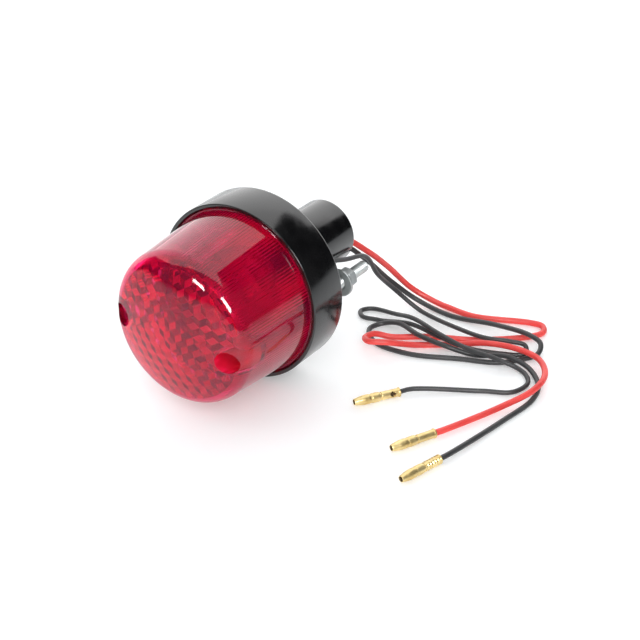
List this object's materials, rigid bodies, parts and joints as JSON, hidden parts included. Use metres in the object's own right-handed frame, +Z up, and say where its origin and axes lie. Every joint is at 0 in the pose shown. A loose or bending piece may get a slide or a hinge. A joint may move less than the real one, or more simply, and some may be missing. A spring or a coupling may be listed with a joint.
{
  "type": "round rear lamp with reflex lens",
  "caption": "Round tail lamp with a deep red reflex lens, held by long through bolts, with a push-in bulb and loose leads that end in bullet connectors.",
  "frame": {"origin": "Middle of the lamp's base, without its leads: halfway between the lens's front and the bolts' tips, under the lamp's axis, on the table it lies on.", "axes": "The lamp lies on its side. +Y runs along its axis from the lens to the rear, +Z is up, and +X is to the right seen from the lens."},
  "size_m": [0.1496, 0.1489, 0.076],
  "materials": {
    "black_gloss": "smooth glossy black",
    "red_lens": "clear deep red acrylic, smooth outside, fluted and prismed inside",
    "rubber": "soft matt black rubber",
    "reflector_metal": "bright plated pressing",
    "socket_metal": "plated steel tube",
    "zinc_steel": "bright zinc plated steel",
    "terminal_tin": "tinned pressing",
    "laminate": "brown laminated insulating board",
    "contact_brass": "plain brass",
    "clear_glass": "clear lamp glass",
    "bulb_metal": "nickel plated brass cap",
    "bulb_insulator": "black glazed insulator",
    "solder": "dull solder",
    "tungsten": "dark grey wire",
    "fibre": "red vulcanised fibre",
    "red_pvc": "bright red sheath with a soft sheen",
    "black_pvc": "dark grey-black sheath with a soft sheen",
    "bullet_brass": "pressed yellow brass"
  },
  "bodies": {
    "housing": {"housing": "black_gloss", "lens_gasket": "rubber", "reflector": "reflector_metal", "socket_shell": "socket_metal", "socket_rivets": "zinc_steel", "socket_insulator": "laminate", "plunger_springs": "zinc_steel", "earth_terminal": "terminal_tin", "cable_grommet": "rubber", "lead_tails": "black_pvc", "red_lead": "red_pvc", "black_lead": "black_pvc", "earth_lead": "black_pvc", "red_bullet": "bullet_brass", "black_bullet": "bullet_brass", "earth_bullet": "bullet_brass"},
    "lens": {"lens": "red_lens", "bolt_right": "zinc_steel", "bolt_left": "zinc_steel", "head_washers": "fibre"},
    "bulb": {"bulb_glass": "clear_glass", "bulb_cap": "bulb_metal", "bulb_base": "bulb_insulator", "bulb_contacts": "solder", "bulb_stem": "clear_glass", "filaments": "tungsten"},
    "plungers": {"contact_plungers": "contact_brass"},
    "washers_right": {"washer_right": "zinc_steel", "spring_washer_right": "zinc_steel"},
    "nut_right": {"nut_right": "zinc_steel"},
    "washers_left": {"washer_left": "zinc_steel", "spring_washer_left": "zinc_steel"},
    "nut_left": {"nut_left": "zinc_steel"}
  },
  "joints": [
    {"name": "lens_pull", "type": "slide", "parent": "housing", "child": "lens", "axis": [0, -1, 0], "range_m": [0, 0.008]},
    {"name": "bulb_push", "type": "slide", "parent": "housing", "child": "bulb", "axis": [0, 1, 0], "range_m": [0, 0.0015], "stiffness_N_per_m": 3000, "springref_m": -0.002},
    {"name": "plunger_slide", "type": "slide", "parent": "housing", "child": "plungers", "axis": [0, 1, 0], "range_m": [0, 0.0015], "deforming": ["plunger_springs"]},
    {"name": "washers_right_travel", "type": "slide", "parent": "lens", "child": "washers_right", "axis": [0, 1, 0], "range_m": [-0.0072, 0.008]},
    {"name": "nut_right_spin", "type": "hinge", "parent": "washers_right", "child": "nut_right", "pos_m": [0.02511, 0.03595, 0.03357], "axis": [0, 1, 0], "range_deg": [-3241, 3601]},
    {"name": "washers_left_travel", "type": "slide", "parent": "lens", "child": "washers_left", "axis": [0, 1, 0], "range_m": [-0.0072, 0.008]},
    {"name": "nut_left_spin", "type": "hinge", "parent": "washers_left", "child": "nut_left", "pos_m": [-0.0265, 0.03595, 0.038], "axis": [0, 1, 0], "range_deg": [-3241, 3601]}
  ],
  "couplings": [
    {"joint": "plunger_slide", "follows": "bulb_push", "ratio": 1},
    {"joint": "nut_right_spin", "follows": "washers_right_travel", "rad_per_m": 7854},
    {"joint": "nut_left_spin", "follows": "washers_left_travel", "rad_per_m": 7854}
  ]
}
